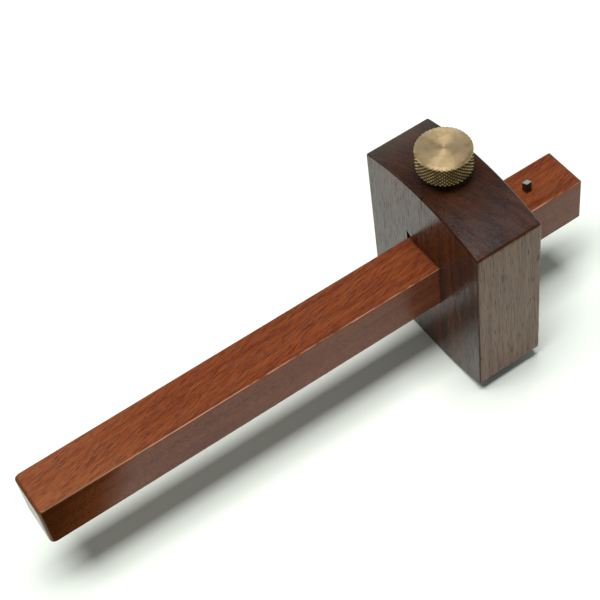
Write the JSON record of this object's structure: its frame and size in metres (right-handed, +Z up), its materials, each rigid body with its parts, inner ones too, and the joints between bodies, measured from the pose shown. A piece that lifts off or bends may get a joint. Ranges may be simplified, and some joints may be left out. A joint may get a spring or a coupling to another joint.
{
  "type": "marking gauge",
  "caption": "Hardwood marking gauge: a straight stem with a steel scribing pin slides through an arched stock and is locked by a knurled brass thumbscrew.",
  "frame": {"origin": "under the middle of the stem's length, level with the lowest point of the stock's arched foot", "axes": "+X along the stem towards the pin, +Y to the gauge's left, +Z up through the thumbscrew"},
  "size_m": [0.22, 0.062, 0.0907],
  "materials": {
    "stem_wood": "oiled satin",
    "stock_wood": "lacquered satin",
    "brass": "turned and knurled",
    "pin_steel": "dark ground steel"
  },
  "bodies": {
    "stock": {"stock": "stock_wood", "threaded_insert": "brass"},
    "stem": {"stem": "stem_wood", "marking_pin": "pin_steel"},
    "pressure_pad": {"pressure_pad": "brass"},
    "thumbscrew": {"thumbscrew": "brass"}
  },
  "joints": [
    {"name": "stem_slide", "type": "slide", "parent": "stock", "child": "stem", "axis": [1, 0, 0], "range_m": [-0.0175, 0.15]},
    {"name": "pad_lift", "type": "slide", "parent": "stock", "child": "pressure_pad", "axis": [0, 0, 1], "range_m": [0, 0.0025]},
    {"name": "thumbscrew_turn", "type": "hinge", "parent": "pressure_pad", "child": "thumbscrew", "pos_m": [0.06025, 0.0035, 0.06], "axis": [0, 0, 1], "range_deg": [0, 720]}
  ],
  "couplings": [
    {"joint": "thumbscrew_turn", "follows": "pad_lift", "rad_per_m": 5026.5}
  ]
}
